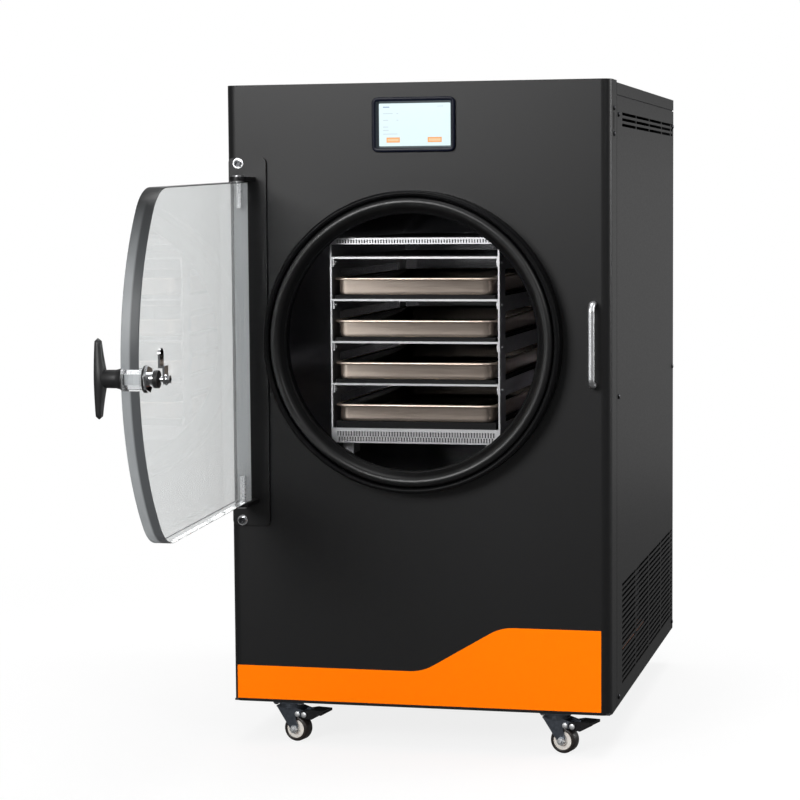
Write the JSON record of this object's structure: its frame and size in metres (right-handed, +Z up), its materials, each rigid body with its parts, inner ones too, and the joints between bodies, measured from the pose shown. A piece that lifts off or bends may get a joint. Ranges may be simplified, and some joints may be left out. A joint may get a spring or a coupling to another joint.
{
  "type": "freeze dryer",
  "caption": "Upright floor-standing freeze dryer on casters with a round vacuum chamber, a tray rack, a clear hinged door with a cam latch and a small screen.",
  "frame": {"origin": "floor level under the centre of the cabinet", "axes": "+Z up, the front with the door faces -Y, +X to the viewer's right when facing the front, +Y to the back"},
  "size_m": [0.6047, 1.4069, 1.014],
  "materials": {
    "panel_black": "satin black powder coat",
    "chassis_grey": "grey painted steel",
    "film_orange": "orange printed film",
    "socket_black": "moulded black plastic",
    "screw_steel": "zinc plated steel",
    "chamber_steel": "polished stainless steel",
    "foam_black": "closed-cell foam",
    "copper": "copper pipe",
    "gasket_rubber": "moulded black rubber",
    "rack_steel": "bright stainless sheet",
    "mat_black": "black silicone heating mat",
    "tray_steel": "pressed stainless steel",
    "acrylic_clear": "clear cast acrylic",
    "hinge_black": "black coated steel",
    "chrome": "bright chrome plate",
    "handle_black": "satin black handle",
    "screen_bezel": "dark moulded bezel",
    "screen_glass": "display glass",
    "caster_steel": "dark coated steel",
    "wheel_rubber": "rubber tread on a pale hub",
    "pedal_black": "black pedal",
    "compressor_black": "black painted shell",
    "fin_aluminium": "plain aluminium fins",
    "motor_grey": "grey painted motor",
    "fan_black": "moulded fan",
    "pump_blue": "blue painted castings",
    "hose_black": "black hose",
    "hose_clear": "pale silicone hose",
    "box_grey": "light grey painted steel",
    "brass": "plain brass",
    "red_plastic": "red plastic"
  },
  "bodies": {
    "cabinet": {"chassis_frame": "chassis_grey", "front_panel": "panel_black", "side_panel_left": "panel_black", "side_panel_right": "panel_black", "top_cover": "panel_black", "back_panel": "panel_black", "front_decal": "film_orange", "service_port": "socket_black", "pan_head_screws": "screw_steel", "chamber": "chamber_steel", "chamber_insulation": "foam_black", "evaporator_coil": "copper", "door_gasket": "gasket_rubber", "rack_sides": "rack_steel", "rack_top": "rack_steel", "rack_bottom": "rack_steel", "rack_shelves": "rack_steel", "heating_mats": "mat_black", "tray_1": "tray_steel", "tray_2": "tray_steel", "tray_3": "tray_steel", "tray_4": "tray_steel", "hinge_plate": "hinge_black", "hinge_pins": "chrome", "hinge_bolts": "screw_steel", "keeper": "chrome", "screen_bezel": "screen_bezel", "screen_glass": "screen_glass", "caster_plates": "caster_steel", "compressor": "compressor_black", "condenser": "fin_aluminium", "fan_motor": "motor_grey", "fan_shroud": "fan_black", "vacuum_pump": "pump_blue", "vacuum_hose": "hose_black", "drain_hose": "hose_clear", "refrigerant_pipes": "copper", "control_box": "box_grey", "power_inlet": "socket_black", "drain_valve": "brass"},
    "door": {"door_plate": "acrylic_clear", "latch_body": "chrome", "latch_nut": "chrome", "latch_seals": "gasket_rubber"},
    "latch": {"latch_handle": "handle_black", "latch_cam": "screw_steel", "cam_bolt": "screw_steel"},
    "fan": {"fan_blades": "fan_black"},
    "rocker": {"power_rocker": "red_plastic"},
    "drain_lever": {"drain_lever": "red_plastic"},
    "pedal_fl": {"brake_pedal_fl": "pedal_black"},
    "pedal_fr": {"brake_pedal_fr": "pedal_black"},
    "swivel_fl": {"caster_fork_fl": "caster_steel"},
    "wheel_fl": {"caster_wheel_fl": "wheel_rubber"},
    "swivel_fr": {"caster_fork_fr": "caster_steel"},
    "wheel_fr": {"caster_wheel_fr": "wheel_rubber"},
    "swivel_bl": {"caster_fork_bl": "caster_steel"},
    "wheel_bl": {"caster_wheel_bl": "wheel_rubber"},
    "swivel_br": {"caster_fork_br": "caster_steel"},
    "wheel_br": {"caster_wheel_br": "wheel_rubber"}
  },
  "joints": [
    {"name": "door_hinge", "type": "hinge", "parent": "cabinet", "child": "door", "pos_m": [-0.262, -0.4318, 0.625], "axis": [0, 0, -1], "range_deg": [-88.5, 71.5]},
    {"name": "latch_turn", "type": "hinge", "parent": "door", "child": "latch", "pos_m": [-0.24881, -0.93563, 0.607], "axis": [0.9997, 0.0262, 0], "range_deg": [0, 90]},
    {"name": "swivel_fl", "type": "hinge", "parent": "cabinet", "child": "swivel_fl", "pos_m": [-0.21, -0.353, 0.064], "axis": [0, 0, 1], "continuous": true},
    {"name": "wheel_spin_fl", "type": "hinge", "parent": "swivel_fl", "child": "wheel_fl", "pos_m": [-0.19831, -0.3557, 0.02], "axis": [0.225, 0.9744, 0], "continuous": true},
    {"name": "swivel_fr", "type": "hinge", "parent": "cabinet", "child": "swivel_fr", "pos_m": [0.21, -0.353, 0.064], "axis": [0, 0, 1], "continuous": true},
    {"name": "wheel_spin_fr", "type": "hinge", "parent": "swivel_fr", "child": "wheel_fr", "pos_m": [0.22169, -0.3557, 0.02], "axis": [0.225, 0.9744, 0], "continuous": true},
    {"name": "swivel_bl", "type": "hinge", "parent": "cabinet", "child": "swivel_bl", "pos_m": [-0.21, 0.353, 0.064], "axis": [0, 0, 1], "continuous": true},
    {"name": "wheel_spin_bl", "type": "hinge", "parent": "swivel_bl", "child": "wheel_bl", "pos_m": [-0.19831, 0.3503, 0.02], "axis": [0.225, 0.9744, 0], "continuous": true},
    {"name": "swivel_br", "type": "hinge", "parent": "cabinet", "child": "swivel_br", "pos_m": [0.21, 0.353, 0.064], "axis": [0, 0, 1], "continuous": true},
    {"name": "wheel_spin_br", "type": "hinge", "parent": "swivel_br", "child": "wheel_br", "pos_m": [0.22169, 0.3503, 0.02], "axis": [0.225, 0.9744, 0], "continuous": true},
    {"name": "brake_press_fl", "type": "hinge", "parent": "swivel_fl", "child": "pedal_fl", "pos_m": [-0.1798, -0.35997, 0.0445], "axis": [0.225, 0.9744, 0], "range_deg": [0, 16]},
    {"name": "brake_press_fr", "type": "hinge", "parent": "swivel_fr", "child": "pedal_fr", "pos_m": [0.24021, -0.35997, 0.0445], "axis": [0.225, 0.9744, 0], "range_deg": [0, 16]},
    {"name": "fan_spin", "type": "hinge", "parent": "cabinet", "child": "fan", "pos_m": [0.108, 0.299, 0.204], "axis": [0, 1, 0], "continuous": true},
    {"name": "power_rock", "type": "hinge", "parent": "cabinet", "child": "rocker", "pos_m": [-0.2, 0.38, 0.158], "axis": [1, 0, 0], "range_deg": [-16, 0]},
    {"name": "drain_turn", "type": "hinge", "parent": "cabinet", "child": "drain_lever", "pos_m": [-0.04, 0.401, 0.1323], "axis": [0, 0, 1], "range_deg": [0, 90]}
  ]
}
